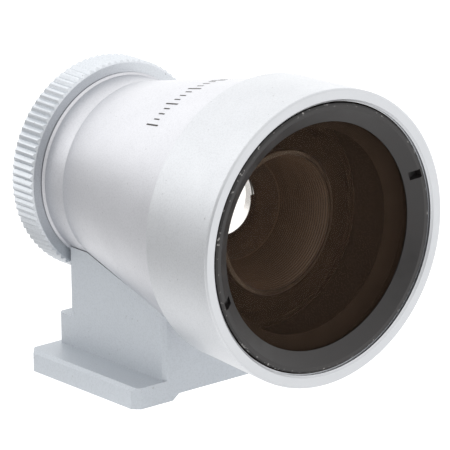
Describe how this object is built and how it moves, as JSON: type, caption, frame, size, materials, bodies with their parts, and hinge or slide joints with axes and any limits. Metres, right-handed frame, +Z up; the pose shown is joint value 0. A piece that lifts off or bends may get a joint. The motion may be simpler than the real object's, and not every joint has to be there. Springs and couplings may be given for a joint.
{
  "type": "accessory-shoe optical finder",
  "caption": "Round optical finder on a shoe foot: flared barrel, wide front hood and lens, knurled eyepiece ring that focuses the eyepiece.",
  "frame": {"origin": "centre of the foot's underside, in the plane that rests on the shoe", "axes": "+Z up from the foot; the optical axis runs along Y with the front lens toward -Y and the eyepiece toward +Y; +X to the user's left when looking through it toward -Y"},
  "size_m": [0.0272, 0.0329, 0.0315],
  "materials": {
    "satin_metal": "fine satin",
    "chromed_shoe": "satin chrome",
    "bright_bore": "plain turned",
    "black_finish": "matt black",
    "optical_glass": "coated",
    "steel_small": "plain",
    "brass_pins": "plain",
    "eye_rubber": "matt",
    "mask_metal": "blackened"
  },
  "bodies": {
    "finder_body": {"shoe_block": "chromed_shoe", "pedestal_screws": "steel_small", "barrel_shell": "satin_metal", "front_hood": "satin_metal", "front_retaining_ring": "black_finish", "front_lens": "optical_glass", "lens_spacer": "black_finish", "mirror_lens": "optical_glass", "mirror_lens_ring": "black_finish", "mirror_spacer": "black_finish", "light_baffle_disc": "black_finish", "baffle_tube": "black_finish", "inner_cone": "black_finish", "frame_mask": "mask_metal", "wave_washer": "brass_pins", "stop_pin": "steel_small", "retaining_clip": "steel_small"},
    "dioptre_ring": {"knurled_ring": "satin_metal", "eye_guard": "eye_rubber"},
    "eyepiece_unit": {"eyepiece_cell": "bright_bore", "eyepiece_lens": "optical_glass", "eyepiece_retaining_ring": "bright_bore", "drive_pins": "brass_pins"}
  },
  "joints": [
    {"name": "ring_turn", "type": "hinge", "parent": "finder_body", "child": "dioptre_ring", "pos_m": [0, 0, 0.0179], "axis": [0, 1, 0], "range_deg": [-60, 60]},
    {"name": "cell_slide", "type": "slide", "parent": "finder_body", "child": "eyepiece_unit", "axis": [0, 1, 0], "range_m": [-0.00075, 0.00075]}
  ],
  "couplings": [
    {"joint": "cell_slide", "follows": "ring_turn", "m_per_rad": 0.000716}
  ]
}
